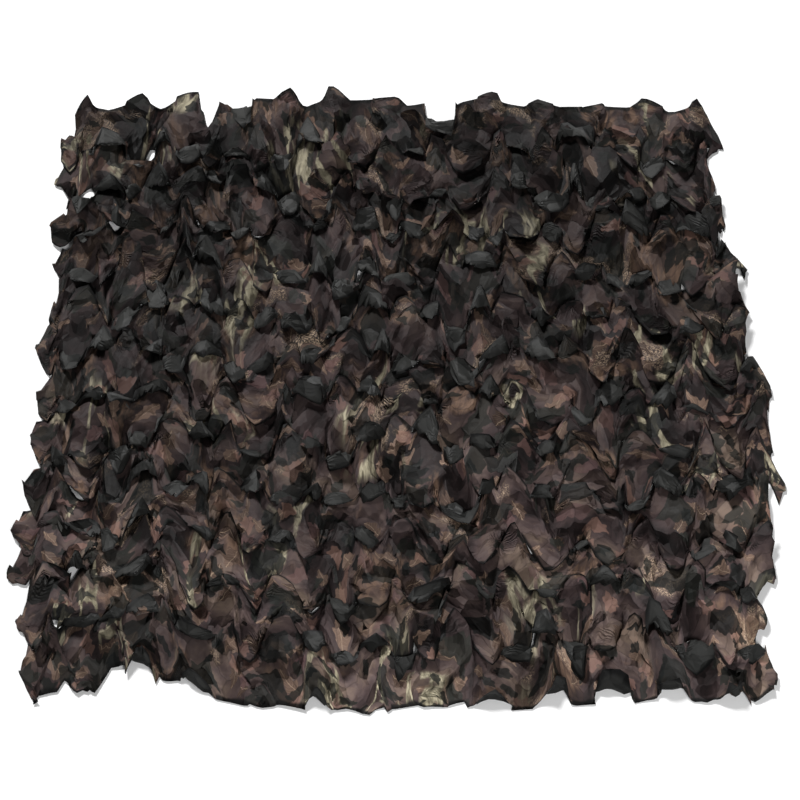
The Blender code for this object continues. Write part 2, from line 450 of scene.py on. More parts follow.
# %% Lay the bands
OVERLAP = (0.004, 0.022)  # a leaf reaches over its neighbour by this much, least and most
DRAW_BACK = 0.014  # the cloth beside a leaf draws back from it by this much
TUCK = 0.021  # or, under a turned leaf, reaches past its fold by this much
LEAF_LIFT = (0.014, 0.036)  # the tip of a leaf stands this high, least and most
FOLD_LIFT = 0.006  # and the fold of a turned one
ARCH = 0.008  # the bands arch up between their bridges
ARCH_ELSEWHERE = 0.010
FOLD_EXTRA = 0.030  # a leaf turns over along a line up to this far behind its neck
FRONT_FOLD = 0.2  # and the front edge's own leaves within this share of that
FRONT_OPEN = math.radians(20)  # and these don't fold as tightly
FOLD_ARC = 0.011  # the cloth turns over within this length
FOLD_LEAST = math.radians(168)
FOLD_MORE = math.radians(16)
FRONT_OUT = 0.033  # the front edge of the whole cloth lies nearly straight, this far out
BACK_OUT = 0.030  # and the back edge, which keeps more of its points
BACK_TIP = 0.034
EDGE_STRAY = 0.014
LEAF_BULGE = 0.045  # a leaf is wider than its neck, by this share of a wave on each side
at_front = band == 0
at_back = band == BANDS - 1
crest = unit(swing) ** 0.7
trough = unit(-swing) ** 0.7
standing_turned &= ~at_back | (drawn(8) < BACK_TURNED)
hanging_turned = np.where(at_front & clear_of_left, drawn(9) < FRONT_TURNED, hanging_turned)
reach_standing = np.where(standing_turned, 0, drawn_in(OVERLAP, 2))
reach_hanging = np.where(hanging_turned, 0, drawn_in(OVERLAP, 3))
front_tuck = np.where(drawn(0, -1) < STANDING_TURNED,
                      WAVE_HEIGHT + FOLD_EXTRA * drawn(1, -1) + TUCK, DRAW_BACK)
back_tuck = np.where(drawn(5, 1) < HANGING_TURNED,
                     WAVE_HEIGHT + FOLD_EXTRA * drawn(2, 1) + TUCK, DRAW_BACK)
front_scallop = EDGE_STRAY * (crest * drawn(8) + trough * (drawn(9) - 0.5))
front_shift = front_scallop - WAVE_HEIGHT * swing - FRONT_OUT
back_scallop = BACK_TIP * drawn(8) * unit(swing) ** 2 - EDGE_STRAY * trough * drawn(9)
back_shift = back_scallop - WAVE_HEIGHT * swing + BACK_OUT
lift_standing = drawn_in(LEAF_LIFT, 4)
lift_hanging = drawn_in(LEAF_LIFT, 7)


def band_section(part):
    """How far a point moves along Y from its place in plan, and its height."""
    part = unit(part)
    fore = -crest * front_tuck * (1 - part) ** 2.5 - trough * reach_hanging * (1 - part) ** 1.5
    aft = crest * reach_standing * part ** 1.5 + trough * back_tuck * part ** 2.5
    away = np.where(at_front, front_shift * (1 - part) ** 1.5, fore)
    away += np.where(at_back, back_shift * part ** 1.5, aft)
    hump = np.sin(math.pi * part) ** 2
    at_bridge = unit(np.cos(phase)) + 0.6 * unit(-np.cos(phase))
    height = ARCH * hump * at_bridge + ARCH_ELSEWHERE * hump * (crest + trough)
    height += crest * np.where(standing_turned, FOLD_LIFT, lift_standing) * part ** 2
    height += trough * np.where(hanging_turned, FOLD_LIFT, lift_hanging) * (1 - part) ** 2
    return away, height


def turned_over(length, turn):
    """A strip of cloth past its fold: how far forward it comes and how high it stands."""
    angle = turn * unit(length / FOLD_ARC)
    radius = FOLD_ARC / turn
    spare = np.clip(length - FOLD_ARC, 0, None)
    forward = radius * np.sin(angle) + spare * np.cos(turn)
    height = radius * (1 - np.cos(angle)) + spare * np.sin(turn)
    return forward, height


print("sections ready")

# %% [markdown]
# ## Loose ends and places where the ground shows
# At the left and right sides nothing holds the bands together, so each ends in a ragged tongue.
# Near the left side the cloth is stretched thin, and a few slits stand open there. The tables list
# how far each tongue reaches and how much its front corner leads, and where the open slits lie.

# %% Tongues and open slits
Loose = namedtuple("Loose", "reach slant gape")
LEFT_ENDS = [Loose(*row) for row in (
    (0.006, 0.010, 0.006), (0.008, 0.014, 0.012), (0.016, -0.014, 0.004),
    (0.008, 0.012, 0.010), (0.000, -0.010, 0.005), (0.010, 0.008, 0.012),
    (-0.004, -0.012, 0.004), (0.012, 0.010, 0.010), (0.002, -0.008, 0.014),
    (0.000, 0.012, 0.006), (0.008, -0.014, 0.016), (0.004, 0.010, 0.010),
    (0.010, -0.008, 0.0),
)]
RIGHT_ENDS = [Loose(*row) for row in (
    (0.014, -0.012, 0.006), (0.000, 0.008, 0.010), (-0.006, -0.010, 0.004),
    (0.008, 0.012, 0.009), (0.018, -0.008, 0.012), (0.006, -0.014, 0.005),
    (0.014, 0.010, 0.010), (-0.002, -0.008, 0.004), (0.010, 0.012, 0.012),
    (0.012, -0.012, 0.006), (0.000, 0.008, 0.010), (0.008, -0.010, 0.005),
    (0.012, 0.010, 0.0),
)]
CORNER_INSET = 0.036  # a band's corners stay this far inside its middle
END_REACH = 0.34  # the share of a wave, from its end, that a tongue takes in
Gap = namedtuple("Gap", "x y opening radius")
GAPS = [Gap(*row) for row in (
    (-0.742, -0.452, 0.030, 0.045), (-0.645, -0.483, 0.013, 0.026),
    (-0.684, -0.447, 0.003, 0.016), (-0.555, -0.549, 0.009, 0.022),
    (-0.678, -0.563, 0.009, 0.022), (-0.620, -0.600, 0.010, 0.024),
    (-0.516, -0.567, 0.009, 0.022), (-0.394, -0.600, 0.010, 0.024),
    (-0.671, 0.538, 0.012, 0.024), (-0.540, 0.546, 0.010, 0.024),
    (-0.650, 0.453, 0.010, 0.024), (-0.709, 0.346, 0.013, 0.028),
    (-0.619, 0.280, 0.012, 0.026), (-0.420, 0.590, 0.009, 0.024),
    (-0.715, 0.590, 0.018, 0.040), (-0.629, 0.635, 0.010, 0.024),
)]


def gape(x, y, part):
    """How far the open slits part the cloth along Y, and how open they are, from 0 to 1."""
    opening = np.zeros(len(x))
    openness = np.zeros(len(x))
    side = part ** 2 - (1 - part) ** 2
    slit = np.where(part > 0.5, band, band - 1)
    for ends, from_end in ((LEFT_ENDS, wave_at), (RIGHT_ENDS, WAVES - wave_at)):
        near = unit(1 - from_end / END_REACH) ** 1.2
        widths = np.array([end.gape for end in ends])[np.clip(slit, 0, BANDS - 1)]
        opening -= near * widths * side * ((slit >= 0) & (slit < BANDS - 1))
        openness = np.maximum(openness, 0.8 * near)
    for gap in GAPS:
        near = np.exp(-((x - gap.x) ** 2 + (y - gap.y) ** 2) / gap.radius ** 2)
        opening -= near * gap.opening * side
        openness = np.maximum(openness, near)
    return opening, openness


def loose_end(part):
    """How far the bands' ends reach out or draw in along X."""
    shift = np.zeros(len(part))
    for ends, outward, from_end in ((LEFT_ENDS, -1, wave_at), (RIGHT_ENDS, 1, WAVES - wave_at)):
        reach = np.array([end.reach for end in ends])[band]
        slant = np.array([end.slant for end in ends])[band]
        near = unit(1 - from_end / END_REACH) ** 1.5
        corner = 2 * unit(part) - 1
        shift += outward * near * (reach - CORNER_INSET * np.abs(corner) + slant * corner)
    return shift


print("open slits:", len(GAPS))

# %% Turn leaves over and place every point


def lay_cloth():
    away, height = band_section(share)
    part = share.copy()
    lies = share.copy()  # where in the band's depth a point ends up once its leaf has turned
    up = unit(swing) ** 0.6
    down = unit(-swing) ** 0.6
    open_hanging = FOLD_LEAST + FOLD_MORE * drawn(7) - FRONT_OPEN * at_front
    behind = FOLD_EXTRA * drawn(2) * np.where(at_front, FRONT_FOLD, 1)
    # standing leaves fold towards the front over themselves, and hanging leaves towards the back
    for side, leaves, lobe, extra, turn in (
            (1, standing_turned, up, FOLD_EXTRA * drawn(1), FOLD_LEAST + FOLD_MORE * drawn(6)),
            (-1, hanging_turned, down, behind, open_hanging)):
        depth = (WAVE_HEIGHT + extra) * lobe / FLAT_BAND
        fold_at = 1 - depth if side > 0 else depth
        past = side * (share - fold_at) * FLAT_BAND
        away_fold, height_fold = band_section(fold_at)
        forward, rise = turned_over(np.clip(past, 0, None), turn)
        turned = leaves & (past > 0) & (lobe > 0)
        away = np.where(turned, away_fold + side * forward, away)
        height = np.where(turned, height_fold + rise, height)
        part = np.where(turned, fold_at, part)
        lies = np.where(turned, fold_at - side * past / FLAT_BAND, lies)
    bulge = LEAF_BULGE * np.sin(2 * phase) * np.abs(2 * share - 1)
    x, y = plan(np.clip(wave_at - bulge, 0, WAVES), band + part)
    y = y + WAVE_HEIGHT * swing
    open_more, open_height = gape(x, y, part)
    away = away * (1 - open_height) + open_more
    height = height * (1 - 0.7 * open_height)
    return np.stack([x + loose_end(part), y + away, height], 1), lies


laid, lies = lay_cloth()
print("laid by rule: x %.3f..%.3f y %.3f..%.3f z %.3f..%.3f" % tuple(
    value for axis in range(3) for value in (laid[:, axis].min(), laid[:, axis].max())))

# %% [markdown]
# ## Out of true
# Thin polyester keeps the creases of its bale. Before the cloth is let go, its rows are pushed out
# of line by a slow noise, and flat facets with crisp edges between them are pressed into it. The
# simulation's bending springs then hold these creases, because they take the starting shape
# for the cloth's own.

# %% Stray and crease the laid cloth
STRAY = 0.016
STRAY_SIZE = 0.075
STRAY_AT_EDGE = 0.3  # the share of that at the net's own edges
ROLLING = 0.009
ROLLING_SIZE = 0.032
FACETS = ((0.050, 0.014), (0.028, 0.007))  # (size, depth) of the pressed facets
EDGE_LOW = 0.35  # the net's own edges lie this much lower than the rest
PIN_HALF_PHASE = math.radians(34)
BRIDGE_RISE = 0.012
LOWEST = 0.0015
OUTER_EDGE = 0.5  # half a band or half a wave counts as the net's own edge


from_edge = np.minimum.reduce([band + lies, BANDS - band - lies, wave_at, WAVES - wave_at])
from_edge = from_edge / OUTER_EDGE
low_edge = EDGE_LOW + (1 - EDGE_LOW) * unit(from_edge)


def noise_over(points, size, offset):
    """Smooth noise, about -0.5 to 0.5, over rows of (x, y)."""
    return np.array([noise.noise(Vector((x / size + offset, y / size - offset, offset)))
                     for x, y in points])


def facet_over(points, size, offset):
    """0 along the edges of a net of facets, rising to their middles."""
    height = np.empty(len(points))
    for index, (x, y) in enumerate(points):
        near, _ = noise.voronoi(Vector((x / size + offset, y / size + offset, 0.0)))
        height[index] = near[1] - near[0]
    return height


def stray(laid):
    spots = laid[:, :2].copy()
    spots[:, 1] = plan(wave_at, band + share)[1]
    straying = 2 * STRAY * (STRAY_AT_EDGE + (1 - STRAY_AT_EDGE) * unit(from_edge))
    laid[:, 0] += straying * noise_over(spots, STRAY_SIZE, 3.1)
    laid[:, 1] += straying * noise_over(spots, STRAY_SIZE, 7.7)
    cloth = flat[:, :2]
    rolling = noise_over(cloth, ROLLING_SIZE, 1.3) + 0.5 * noise_over(cloth, ROLLING_SIZE / 2, 5.3)
    laid[:, 2] += ROLLING * (rolling + 0.3)
    for size, depth in FACETS:
        laid[:, 2] += depth * (facet_over(cloth, size, 3.0) - 0.15)
    laid[:, 2] *= low_edge
    laid[:, 2] = np.maximum(laid[:, 2], LOWEST)
    return laid


laid = stray(laid)
pinned = on_bridge & (np.cos(phase) > math.cos(PIN_HALF_PHASE))
pinned_rise = noise_over(laid[pinned][:, :2], 0.11, 9.1) + 0.1
laid[pinned, 2] = np.maximum(LOWEST, BRIDGE_RISE * pinned_rise)
print("pinned points:", int(pinned.sum()))

# %% [markdown]
# ## Letting the cloth settle
# Blender's cloth simulation lets the leaves fall, fold and rest on each other and on the floor.
# The bridges are pinned where they lie, and the cloth is grown a little, so that its spare
# length buckles into folds of its own. One second of time is enough. The result is read back
# into a plain mesh, and neither the simulation nor its shape stays on the piece.

# %% Simulate
GROWTH = 0.03
FRAMES = 26
FABRIC = {
    "bending_model": "ANGULAR", "quality": 6, "mass": 0.02, "air_damping": 1.0,
    "tension_stiffness": 40, "compression_stiffness": 40, "shear_stiffness": 20,
    "bending_stiffness": 0.8, "tension_damping": 2.0, "compression_damping": 2.0,
    "shear_damping": 2.0, "bending_damping": 0.2, "shrink_min": -GROWTH,
    "vertex_group_mass": "bridges", "pin_stiffness": 1.0,
}
CONTACT = {
    "distance_min": 0.0012, "collision_quality": 2, "friction": 15, "use_self_collision": True,
    "self_distance_min": 0.0012, "self_friction": 5,
}


def simulate(mesh, start, pins, frames):
    """The points of the cloth after it has settled for some frames."""
    mesh.vertices.foreach_set("co", start.astype(np.float32).ravel())
    cloth = put("settling", mesh)
    scene = bpy.context.scene
    group = cloth.vertex_groups.new(name="bridges")
    group.add([int(index) for index in np.flatnonzero(pins)], 1.0, "REPLACE")
    settle = cloth.modifiers.new("Settle", "CLOTH")
    for settings, table in ((settle.settings, FABRIC), (settle.collision_settings, CONTACT)):
        for key, value in table.items():
            setattr(settings, key, value)
    ground = put("ground", floor.data)
    ground.modifiers.new("Collision", "COLLISION")
    ground.collision.thickness_outer = 0.001
    ground.collision.cloth_friction = 15
    settle.point_cache.frame_start = 1
    settle.point_cache.frame_end = frames
    scene.frame_start = 1
    scene.frame_end = frames
    for frame_number in range(1, frames + 1):
        scene.frame_set(frame_number)
    graph = bpy.context.evaluated_depsgraph_get()
    settled = cloth.evaluated_get(graph).to_mesh()
    points = np.empty(len(settled.vertices) * 3, np.float32)
    settled.vertices.foreach_get("co", points)
    bpy.data.objects.remove(cloth)
    bpy.data.objects.remove(ground)
    scene.frame_set(1)
    return points.reshape(-1, 3).astype(float)


settled = simulate(cloth_mesh.copy(), laid, pinned, FRAMES)

# %% [markdown]
# ## Pressing the facets flat
# A simulated cloth is as soft as dough, while thin crisp polyester breaks into flat facets with
# sharp lines between them. The flat cloth is therefore divided among scattered seeds. Around each
# seed, the settled points are fitted with the flat plate that lies closest to them, and the cloth
# is drawn most of the way onto its plates. Only a narrow strip between two plates blends both.

# %% Facets
FACET_SIZE = 0.034
FACET_SHARE = 0.8  # how far the points are drawn onto their plates
FACET_BLEND = 0.10  # the strip that blends two plates, as a share of the facet's size


def scatter_seeds():
    """One seed in each cell of a coarse grid in the flat cloth, strayed within its cell."""
    draw = np.random.default_rng(SEED + 1)
    across = int(FLAT_WIDTH / FACET_SIZE)
    along = int(FLAT_BAND / FACET_SIZE)
    seeds = []
    for row in range(BANDS):
        for up in range(along):
            x = (np.arange(across) + draw.uniform(0, 1, across)) / across * FLAT_WIDTH
            y = (up + draw.uniform(0.05, 0.95, across)) / along * FLAT_BAND
            seeds.append(np.stack([x, y, np.full(across, float(row))], 1))
    return np.concatenate(seeds)


def nearest_two(places, seeds):
    """For each place, its two nearest seeds of the same band and the distances to them."""
    tree = KDTree(len(seeds))
    for index, (x, y, row) in enumerate(seeds):
        tree.insert((x, y, row), index)
    tree.balance()
    found = [tree.find_n(place, 2) for place in places]
    order = np.array([[near[1], far[1]] for near, far in found])
    distance = np.array([[near[2], far[2]] for near, far in found])
    return order, distance


def press_facets(points):
    """The points drawn onto flat plates, each the best fit around its seed."""
    seeds = scatter_seeds()
    cloth = np.stack([flat[:, 0], share * FLAT_BAND, band.astype(float)], 1)
    order, distance = nearest_two(cloth, seeds)
    terms = np.concatenate([np.ones((len(cloth), 1)), cloth[:, :2] - seeds[order[:, 0], :2]], 1)
    moments = np.zeros((len(seeds), 3, 3))
    sums = np.zeros((len(seeds), 3, 3))
    np.add.at(moments, order[:, 0], terms[:, :, None] * terms[:, None, :])
    np.add.at(sums, order[:, 0], terms[:, :, None] * points[:, None, :])
    moments += np.diag([1e-6, 1e-6, 1e-6])
    plates = np.linalg.solve(moments, sums)

    def on_plate(which):
        away = cloth[:, :2] - seeds[order[:, which], :2]
        plate = plates[order[:, which]]
        return plate[:, 0] + away[:, :1] * plate[:, 1] + away[:, 1:] * plate[:, 2]

    filled = np.bincount(order[:, 0], minlength=len(seeds)) >= 5
    margin = (distance[:, 1] - distance[:, 0]) / (FACET_BLEND * FACET_SIZE)
    own = (0.5 + 0.5 * unit(margin))[:, None]
    own = np.where(filled[order[:, 1]][:, None], own, 1.0)
    target = own * on_plate(0) + (1 - own) * on_plate(1)
    near = np.linalg.norm(target - points, axis=1) < FACET_SIZE / 2
    pull = FACET_SHARE * (near & filled[order[:, 0]])[:, None]
    return points * (1 - pull) + target * pull


settled = press_facets(settled)
settled[:, 2] = LOWEST + (settled[:, 2] - LOWEST) * low_edge  # the outer edges lie on the ground
settled[:, 0] += PLAN_SHIFT[0]
settled[:, 1] += PLAN_SHIFT[1]
print("settled: z %.4f..%.4f mean %.4f" % (
    settled[:, 2].min(), settled[:, 2].max(), settled[:, 2].mean()))

# %% [markdown]
# ## Helpers for the finishes
# A finish is a shader, and a shader is a tree of nodes. The effects that both sides of the cloth
# share, such as its weave and its creases, are node groups with named inputs, built once. They
# give out only heights and masks, so the shader itself stays in each material.

# %% Shader helpers
UV_METRES = 2.0  # the UV map's unit square is this wide, so that the whole cloth fits in it


class ShaderWires(Wires):
    """The few shapes of node that the finishes are made of."""

    def scaled(self, vector, factor):
        made = self.node("ShaderNodeVectorMath", {"operation": "SCALE"}, i0=vector, i3=factor)
        return made.outputs[0]

    def vector_math(self, operation, first, second):
        made = self.node("ShaderNodeVectorMath", {"operation": operation}, i0=first, i1=second)
        return made.outputs[0]

    def moved(self, vector, offset):
        return self.vector_math("ADD", vector, offset)

    def noise(self, vector, scale, detail=2.0, roughness=0.5, distortion=0.0, colour=False):
        made = self.node(
            "ShaderNodeTexNoise", {"noise_dimensions": "3D"}, Vector=vector, Scale=scale,
            Detail=detail, Roughness=roughness, Distortion=distortion)
        return made.outputs["Color" if colour else "Fac"]

    def voronoi(self, vector, feature="F1"):
        settings = {"voronoi_dimensions": "2D", "feature": feature}
        return self.node("ShaderNodeTexVoronoi", settings, Vector=vector, Scale=1.0)

    def between(self, value, low, high, to_low=0.0, to_high=1.0, kind="SMOOTHSTEP"):
        made = self.node("ShaderNodeMapRange", {"interpolation_type": kind}, i0=value, i1=low,
                         i2=high, i3=to_low, i4=to_high)
        return made.outputs[0]

    def blend(self, share, under, over):
        made = self.node("ShaderNodeMix", {"data_type": "RGBA"}, i0=share, i6=under, i7=over)
        return made.outputs[2]

    def ramp(self, value, stops):
        """A colour ramp: stops are (place, colour) rows."""
        made = self.node("ShaderNodeValToRGB", Fac=value)
        while len(made.color_ramp.elements) < len(stops):
            made.color_ramp.elements.new(0.5)
        for element, (place, colour) in zip(made.color_ramp.elements, stops):
            element.position = place
            element.color = (*colour, 1.0)
        return made.outputs[0]

    def group(self, tree, **sockets):
        made = self.node("ShaderNodeGroup", {"node_tree": tree})
        for key, value in sockets.items():
            self.plug(made, key, value)
        return made


def shader_group(name, sizes, gives):
    """A group that reads a place in the cloth: its wires, its inputs, and a call that ends it."""
    inputs = [("Vector", "NodeSocketVector", None)]
    inputs += [(label, "NodeSocketFloat", default) for label, default in sizes.items()]
    outputs = [(label, "NodeSocket" + kind) for label, kind in gives.items()]
    tree, given, result = new_group(name, "ShaderNodeTree", inputs, outputs)

    def give(*sockets):
        for index, socket in enumerate(sockets):
            tree.links.new(socket, result.inputs[index])
        return tree

    return ShaderWires(tree), given.outputs, give


print("shader helpers ready")

# %% [markdown]
# ## Weave and creases
# The cloth is a plain-woven polyester of about seventeen threads to the centimetre. Its creases are
# of two kinds: flat facets pressed in the bale, with sharp lines between them, and pleats that
# fan out from each bridge, where the pull of the leaves meets. The hot knife seals each cut, which
# leaves a thin dark line along it; here that line is drawn wider, as painted shadow in the gap under
# each leaf edge, and the sharp creases get painted shade. All of these follow the flat cloth, so
# they are worked out from its UV map in metres.

# %% Node groups for the cloth's surface
THREAD = 0.0006
BRIDGE_X = (math.tau - FIRST_PHASE) / math.tau * FLAT_PITCH  # the first bridge, in the flat cloth


def build_weave_group():
    wires, given, give = shader_group("weave", {"Thread": THREAD}, {"Height": "Float"})
    turns = wires.math("DIVIDE", math.pi, given["Thread"])
    parts = wires.split(given["Vector"])
    across = wires.math("SINE", wires.product(parts[0], turns))
    along = wires.math("SINE", wires.product(parts[1], turns))
    return give(wires.product(across, along))


def build_facet_group():
    wires, given, give = shader_group(
        "pressed_facets", {"Size": 0.02, "Tilt": 0.5}, {"Lean": "Vector", "Crease": "Float"})
    scale = wires.math("DIVIDE", 1.0, given["Size"])
    bent = wires.noise(given["Vector"], 30.0, 2.0, colour=True)
    bent_place = wires.moved(given["Vector"], wires.scaled(bent, 0.008))
    place = wires.scaled(bent_place, scale)
    cell = wires.voronoi(place)
    turned = wires.moved(cell.outputs["Color"], (-0.5, -0.5, -0.5))
    border = wires.voronoi(place, "DISTANCE_TO_EDGE")
    crease = wires.between(border.outputs["Distance"], 0.0, 0.05, 1.0, 0.0)
    return give(wires.scaled(turned, given["Tilt"]), crease)


def build_pleat_group():
    wires, given, give = shader_group(
        "bridge_pleats", {"Pleats": 8.0, "Reach": 0.045}, {"Height": "Float"})
    parts = wires.split(given["Vector"])
    from_bridge = []
    for axis, start, pitch in ((0, BRIDGE_X, FLAT_PITCH), (1, WAVE_HEIGHT, FLAT_BAND)):
        turns = wires.math("DIVIDE", wires.math("SUBTRACT", parts[axis], start), pitch)
        from_bridge.append(wires.product(wires.off_whole(turns), pitch))
    across, along = from_bridge
    angle = wires.math("ARCTAN2", along, across)
    wander = wires.product(wires.noise(given["Vector"], 28.0, 3.0), 9.0)
    turn = wires.math("MULTIPLY_ADD", angle, given["Pleats"], wander)
    fold = wires.math("PINGPONG", turn, 1.0)
    squares = wires.math("ADD", wires.product(across, across), wires.product(along, along))
    distance = wires.math("SQRT", squares)
    near = wires.between(distance, 0.006, given["Reach"], 1.0, 0.0)
    patchy = wires.between(wires.noise(given["Vector"], 17.0, 1.0), 0.46, 0.60)
    widen = wires.product(wires.between(distance, 0.0, 0.03, 0.2, 1.0, "LINEAR"), patchy)
    return give(wires.product(fold, near, widen))


def build_cut_edge_group():
    # The line's width of 6.5 mm is more than the seal's own: the rest of it is painted shadow, for
    # the dark gap under each lifted leaf edge.
    wires, given, give = shader_group("sealed_cut_edge", {"Width": 0.0065}, {"Mask": "Float"})
    parts = wires.split(given["Vector"])
    turn = wires.math("MULTIPLY_ADD", parts[0], math.tau / FLAT_PITCH, FIRST_PHASE)
    wave = wires.math("MULTIPLY_ADD", wires.math("SINE", turn), WAVE_HEIGHT, WAVE_HEIGHT)
    rows = wires.math("DIVIDE", wires.math("SUBTRACT", parts[1], wave), FLAT_BAND)
    off = wires.math("ABSOLUTE", wires.off_whole(rows))
    cosine = wires.math("COSINE", turn)
    slope = wires.product(cosine, math.tau * WAVE_HEIGHT / FLAT_PITCH)
    length = wires.math("SQRT", wires.math("MULTIPLY_ADD", slope, slope, 1.0))
    distance = wires.math("DIVIDE", wires.product(off, FLAT_BAND), length)
    inner = wires.product(given["Width"], 0.4)
    line = wires.between(distance, inner, given["Width"], 1.0, 0.0)
    free = wires.math("LESS_THAN", cosine, math.cos(BRIDGE_HALF_PHASE))
    return give(wires.product(line, free))


weave_group = build_weave_group()
facet_group = build_facet_group()
pleat_group = build_pleat_group()
cut_edge_group = build_cut_edge_group()
print("surface groups:", weave_group.name, facet_group.name, pleat_group.name,
      cut_edge_group.name)

# %% [markdown]
# ## The print
# Woodland cloth like this carries a printed mix of bark, dead leaves and twigs. The print here is
# a plain one of its kind, made only of rules: leaf shapes that turn by chance, bark that
# streaks along the cloth, fine speckle, pale weathered limbs and a few rust-coloured leaves, on a
# dark mauve-brown ground. The ground runs warmer towards the front, and light is painted in on top:
# the whole print is made paler towards the front and the right, as if more light fell there.

# %% Node groups for the print


def build_leaf_group():
    wires, given, give = shader_group(
        "leaf_shapes", {"Size": 0.07, "Width": 0.26, "Share": 0.5},
        {"Mask": "Float", "Tone": "Float", "Vein": "Float"})
    scale = wires.math("DIVIDE", 1.0, given["Size"])
    place = wires.scaled(given["Vector"], scale)
    wobble = wires.noise(place, 3.0, 3.0, colour=True)
    place = wires.moved(place, wires.scaled(wobble, 0.22))
    cell = wires.voronoi(place)
    draws = wires.node("ShaderNodeSeparateColor", Color=cell.outputs["Color"])
    local = wires.vector_math("SUBTRACT", place, cell.outputs["Position"])
    turn = wires.product(draws.outputs[0], math.tau)
    turned = wires.node("ShaderNodeVectorRotate", {"rotation_type": "Z_AXIS"},
                        Vector=local, Angle=turn)
    parts = wires.split(turned.outputs[0])
    run = wires.between(parts[0], -0.5, 0.5, 0.0, math.pi, "LINEAR")
    lobes = wires.math("MULTIPLY_ADD", wires.math("SINE", wires.product(run, 7.0)), 0.16, 1)
    bulge = wires.product(wires.math("SINE", run), given["Width"])
    half = wires.product(bulge, lobes)
    off = wires.math("ABSOLUTE", parts[1])
    inside = wires.between(wires.math("SUBTRACT", half, off), 0.0, 0.03)
    kept = wires.math("LESS_THAN", draws.outputs[1], given["Share"])
    rib = wires.between(off, 0.004, 0.016, 1.0, 0.0)
    side = wires.math("PINGPONG", wires.math("MULTIPLY_ADD", off, 0.9, parts[0]), 0.055)
    side_rib = wires.between(side, 0.002, 0.008, 0.5, 0.0)
    vein = wires.math("MAXIMUM", rib, side_rib)
    mask = wires.product(inside, kept)
    return give(mask, draws.outputs[2], wires.product(vein, mask))


def build_bark_group():
    wires, given, give = shader_group(
        "bark", {"Furrow": 0.012}, {"Streaks": "Float", "Speckle": "Float"})
    scale = wires.math("DIVIDE", 1.0, given["Furrow"])
    bend = wires.noise(given["Vector"], 9.0, 2.0, colour=True)
    place = wires.moved(given["Vector"], wires.scaled(bend, 0.05))
    drawn_out = wires.vector_math("MULTIPLY", place, (1.0, 0.16, 1.0))
    streaks = wires.noise(drawn_out, scale, 5.0, 0.62)
    speckle = wires.noise(given["Vector"], wires.product(scale, 4.2), 4.0, 0.8)
    return give(wires.between(streaks, 0.36, 0.66), wires.between(speckle, 0.46, 0.60))


leaf_group = build_leaf_group()
bark_group = build_bark_group()
print("print groups:", leaf_group.name, bark_group.name)

# %% The printed front
GROUND = ((0.33, (0.009, 0.008, 0.008)), (0.44, (0.019, 0.014, 0.014)),
          (0.51, (0.038, 0.026, 0.026)), (0.59, (0.066, 0.046, 0.042)),
          (0.69, (0.125, 0.090, 0.070)))
BARK_BROWN = (0.180, 0.112, 0.076, 1.0)
BARK_PALE = (0.340, 0.250, 0.175, 1.0)
LIMB_PALE = (0.380, 0.340, 0.240, 1.0)
LIMB_SHADE = (0.070, 0.060, 0.040, 1.0)
RUST = (0.210, 0.118, 0.090, 1.0)
ROSE = (0.100, 0.056, 0.058, 1.0)
# near black, for the seal line and for the painted shade and shadow laid with it
SEAL_AND_SHADE_BLACK = (0.004, 0.004, 0.004, 1.0)
LEAF_DARK = ((0.0, (0.005, 0.006, 0.006)), (0.5, (0.010, 0.011, 0.010)),
             (1.0, (0.018, 0.018, 0.015)))
LEAF_BROWN = ((0.0, (0.032, 0.020, 0.016)), (1.0, (0.150, 0.098, 0.074)))


def cloth_place(wires):
    """The place in the flat cloth, in metres."""
    chart = wires.node("ShaderNodeUVMap", {"uv_map": "flat_cloth"})
    return wires.scaled(chart.outputs[0], UV_METRES)


FACET_SIZES = ((0.038, 1.0), (0.016, 0.4))  # (size, tilt against the largest)


def cloth_relief(wires, place, facets, pleats):
    """The facets, pleats and weave as one normal, coarse first."""
    surface = wires.node("ShaderNodeNewGeometry").outputs
    normal = wires.moved(wires.scaled(surface["Normal"], 0.4),
                         wires.scaled(surface["True Normal"], 0.6))
    for size, tilt in FACET_SIZES:
        flats = wires.group(facet_group, Vector=place, Size=size, Tilt=facets * tilt)
        normal = wires.moved(normal, flats.outputs["Lean"])
    normal = wires.node("ShaderNodeVectorMath", {"operation": "NORMALIZE"}, i0=normal).outputs[0]
    fans = wires.group(pleat_group, Vector=place)
    threads = wires.group(weave_group, Vector=place)
    for height, depth in ((fans, pleats), (threads, 0.00006)):
        bump = wires.node("ShaderNodeBump", Strength=1.0, Distance=depth,
                          Height=height.outputs["Height"], Normal=normal)
        normal = bump.outputs[0]
    return normal


def seal_and_painted_shade(wires, place, colour):
    """The colour, with painted shade in the sharp creases and a near-black line along every cut: the
    hot knife's seal, widened into painted shadow under the leaf edges.
    """
    # painted shadow: the seal line, drawn wide and nearly black, stands for the gap under each leaf
    # edge
    edge = wires.group(cut_edge_group, Vector=place)
    dark = wires.product(edge.outputs["Mask"], 0.95)
    # painted shade: the sharp creases between facets are darkened
    flats = wires.group(facet_group, Vector=place, Size=FACET_SIZES[0][0])
    dark = wires.math("MAXIMUM", dark, wires.product(flats.outputs["Crease"], 0.3))
    return wires.blend(dark, colour, SEAL_AND_SHADE_BLACK)


def finish(material, colour, roughness, normal, specular):
    tree = material.node_tree
    shader = tree.nodes["Principled BSDF"]
    for key, socket in (("Base Color", colour), ("Roughness", roughness), ("Normal", normal)):
        tree.links.new(socket, shader.inputs[key])
    shader.inputs["Specular IOR Level"].default_value = specular
    return material


